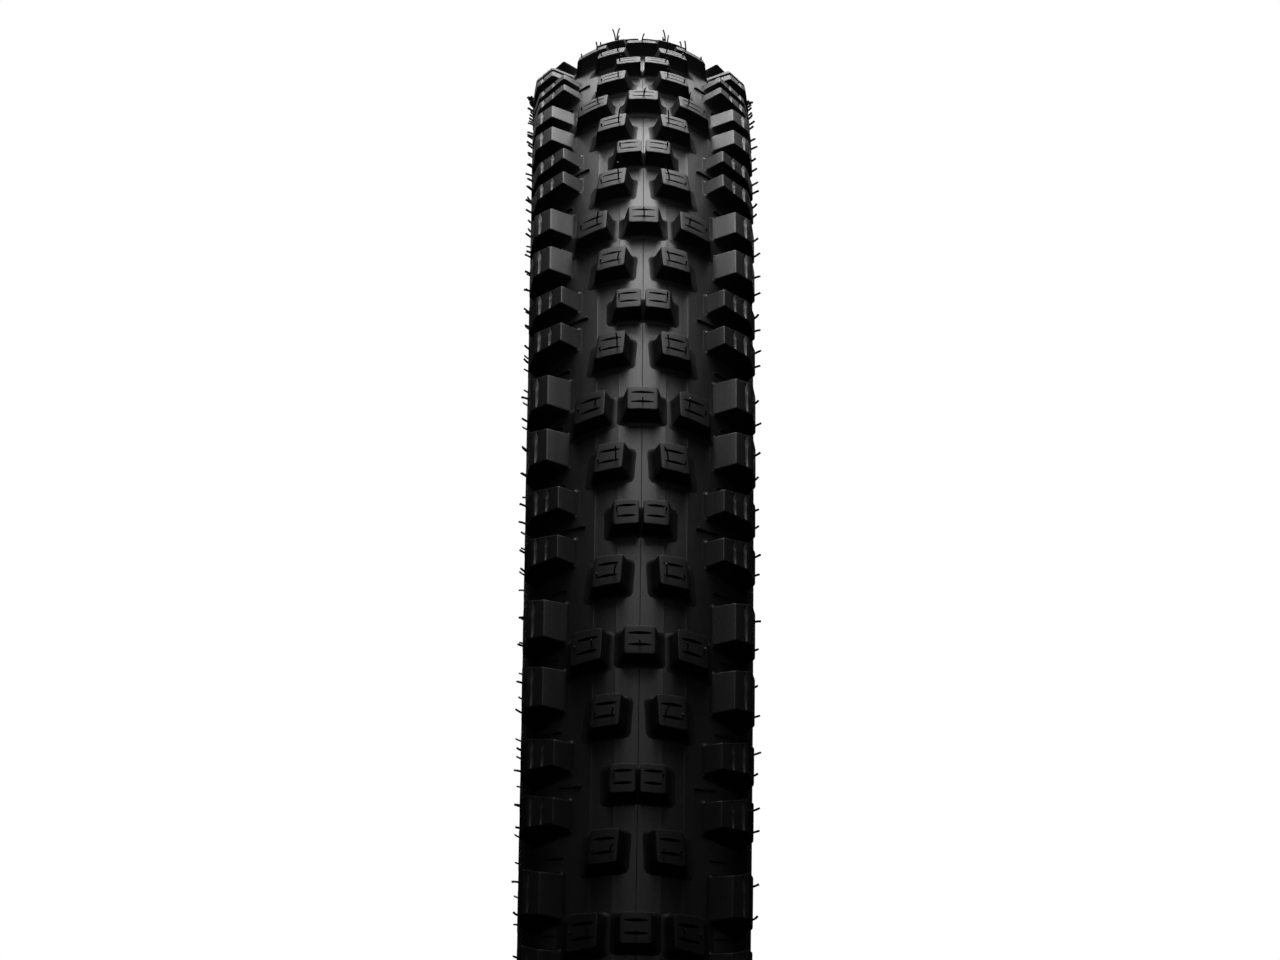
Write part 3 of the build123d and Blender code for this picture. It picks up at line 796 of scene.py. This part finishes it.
class BuildHairs(bpy.types.Operator):
    """Plants the thin moulding hairs on the knobs"""
    bl_idname = "tire.hairs"
    bl_label = "Moulding hairs"

    def execute(self, context):
        rubber = rubber_material("hair_rubber", settings().rubber, 0.4, 0.5)
        chance = random.Random(settings().seed)
        crown, edge = bmesh.new(), bmesh.new()
        for repeat in range(REPEATS):
            start = repeat * PITCH * OUTER
            for side, row, height, longest in CROWN_HAIRS:
                where = on_wheel(0.0, side, skin(side) + height - HAIR_ROOT, row + start)
                length = chance.uniform(SHORTEST_SHARE, 1.0) * longest * MM
                bend = chance.uniform(*CROWN_HAIR_BENDS)
                self.plant(crown, chance, where, settings().hair_radius, length, bend, 0.0)
            for shape in EDGE_KNOBS.values():
                for row in shape["rows"]:
                    for end in EDGE_HAIR_ENDS:
                        for _, mirror in BOTH_SIDES:
                            self.edge_hair(edge, chance, shape, row + start, end, mirror)
        finish_piece(crown, "crown_hairs", rubber)
        finish_piece(edge, "edge_hairs", rubber)
        return {"FINISHED"}

    def edge_hair(self, work, chance, shape, row, end, mirror):
        """One hair near an end of an edge knob."""
        side, radius = on_skin_normal(EDGE_HAIR_TURN, EDGE_HAIR_HEIGHT)
        trail = EDGE_SKEW * (side - shape["ridge"][0])
        along = end * shape["lengths"][0] / 2 - trail
        where = on_wheel(along, side * mirror, radius, row)
        length = chance.uniform(*EDGE_HAIR_LENGTHS) * MM
        bend = chance.uniform(*EDGE_HAIR_BENDS)
        self.plant(work, chance, where, settings().edge_hair_radius, length, bend,
                   -EDGE_HAIR_LEAN * mirror)

    def plant(self, work, chance, where, radius, length, bend, sideways):
        """Adds a hair that bends in a random direction."""
        hair = bent_hair(radius, length, bend, chance.uniform(*CLUB_SHARES))
        spun = Matrix.Rotation(chance.uniform(0, HAIR_SPIN), 4, "Z")
        lean = Matrix.Rotation(sideways, 4, "X") @ spun
        stand_on(hair, where, lean)
        add_mesh(work, hair)


# Soft lamps aimed at the wheel centre: name, place, width and height, power in watts
LAMPS = (("back_light", (-1.97, 0.0, 1.38), (1.0, 2.4), 13),
         ("high_back_light", (-1.20, 0.0, 2.08), (1.0, 2.4), 20),
         ("top_light", (-0.21, 0.0, 2.39), (1.0, 2.4), 13),
         ("front_light", (1.70, 0.0, 1.70), (1.0, 2.4), 2.2),
         ("right_light", (0.5, 2.2, 0.9), (1.0, 1.0), 0.35),
         ("left_light", (0.5, -2.2, 0.9), (1.0, 1.0), 0.35))


class BuildStage(bpy.types.Operator):
    """Sets the floor, the lights, the surroundings and the camera"""
    bl_idname = "tire.stage"
    bl_label = "Studio"

    distance = 3.2642                  # camera from the axle, in metres
    camera_side = -0.0293
    pitch = 0.0757746                  # radians that the camera looks up
    yaw = 0.0097073
    roll = 0.0186331
    lens = 334.11                      # millimetres
    sensor = 36.0
    floor_half = 6.0
    dim = (0.0002, 0.0002, 0.0002)     # what the surroundings give off towards the tire

    def execute(self, context):
        self.floor()
        self.surroundings(context.scene)
        for name, where, size, power in LAMPS:
            self.lamp(name, where, size, power)
        self.camera(context.scene)
        context.scene.view_settings.view_transform = "Standard"
        return {"FINISHED"}

    def floor(self):
        """A plain floor under the tire, which throws no light on it."""
        work = bmesh.new()
        bmesh.ops.create_grid(work, x_segments=1, y_segments=1, size=self.floor_half,
                              matrix=Matrix.Translation((0, 0, LOWEST_TREAD)))
        mesh = bpy.data.meshes.new("floor")
        work.to_mesh(mesh)
        work.free()
        floor = bpy.data.objects.new("floor", mesh)
        bpy.context.scene.collection.objects.link(floor)
        colour = settings().floor
        darker = [0.97 * part for part in colour]
        material = new_material("floor_paint", colour, darker, 0.7, 2.0)[0]
        mesh.materials.append(material)
        floor.visible_diffuse = False
        floor.visible_glossy = False

    def surroundings(self, scene):
        """White behind the tire, and almost no light from around it."""
        world = bpy.data.worlds.new("studio")
        world.use_nodes = True
        scene.world = world
        tree = world.node_tree
        seen = add_node(tree, "ShaderNodeLightPath")
        share = add_node(tree, "ShaderNodeMix", data_type="RGBA")
        share.inputs[MIX_FIRST].default_value = (*self.dim, 1)
        share.inputs[MIX_SECOND].default_value = (1, 1, 1, 1)
        tree.links.new(seen.outputs["Is Camera Ray"], share.inputs[MIX_FACTOR])
        tree.links.new(share.outputs[MIX_RESULT], tree.nodes["Background"].inputs["Color"])

    def lamp(self, name, where, size, power):
        """One lamp aimed at the wheel centre."""
        light = bpy.data.lights.new(name, "AREA")
        light.shape = "RECTANGLE"
        light.size, light.size_y = size
        light.energy = power
        lamp = bpy.data.objects.new(name, light)
        bpy.context.scene.collection.objects.link(lamp)
        lamp.location = where
        lamp.rotation_euler = (-Vector(where)).to_track_quat("-Z", "Y").to_euler()
        lamp.visible_camera = False

    def camera(self, scene):
        """The camera in front of the tire, turned up, aside and a little round."""
        data = bpy.data.cameras.new("camera")
        data.lens = self.lens
        data.sensor_width = self.sensor
        data.clip_end = 50.0
        camera = bpy.data.objects.new("camera", data)
        scene.collection.objects.link(camera)
        ahead = Vector((-math.cos(self.pitch) * math.cos(self.yaw),
                        math.cos(self.pitch) * math.sin(self.yaw), math.sin(self.pitch)))
        right = ahead.cross(Vector((0, 0, 1))).normalized()
        up = right.cross(ahead)
        turned_right = math.cos(self.roll) * right + math.sin(self.roll) * up
        turned_up = -math.sin(self.roll) * right + math.cos(self.roll) * up
        turn = Matrix((turned_right, turned_up, -ahead)).transposed().to_4x4()
        camera.matrix_world = Matrix.Translation((self.distance, self.camera_side, 0)) @ turn
        scene.camera = camera


class TirePanel(bpy.types.Panel):
    """Sizes, colours and build steps of the tire"""
    bl_idname = "VIEW3D_PT_tire"
    bl_label = "Bicycle tire"
    bl_space_type = "VIEW_3D"
    bl_region_type = "UI"
    bl_category = "Tire"

    def draw(self, context):
        for name in TireSettings.__annotations__:
            self.layout.prop(context.scene.tire_settings, name)
        for step in STEPS:
            self.layout.operator(step.bl_idname)


STEPS = (BuildLayers, BuildTreadStrips, BuildSidewalls, BuildCrownKnobs, BuildEdgeKnobs,
         BuildRibs, BuildHairs, BuildStage)


def register():
    for kind in (TireSettings, *STEPS, TirePanel):
        bpy.utils.register_class(kind)
    bpy.types.Scene.tire_settings = bpy.props.PointerProperty(type=TireSettings)


def unregister():
    del bpy.types.Scene.tire_settings
    for kind in reversed((TireSettings, *STEPS, TirePanel)):
        bpy.utils.unregister_class(kind)


def main():
    register()
    for step in STEPS:
        group, action = step.bl_idname.split(".")
        getattr(getattr(bpy.ops, group), action)()


if __name__ == "__main__":
    main()
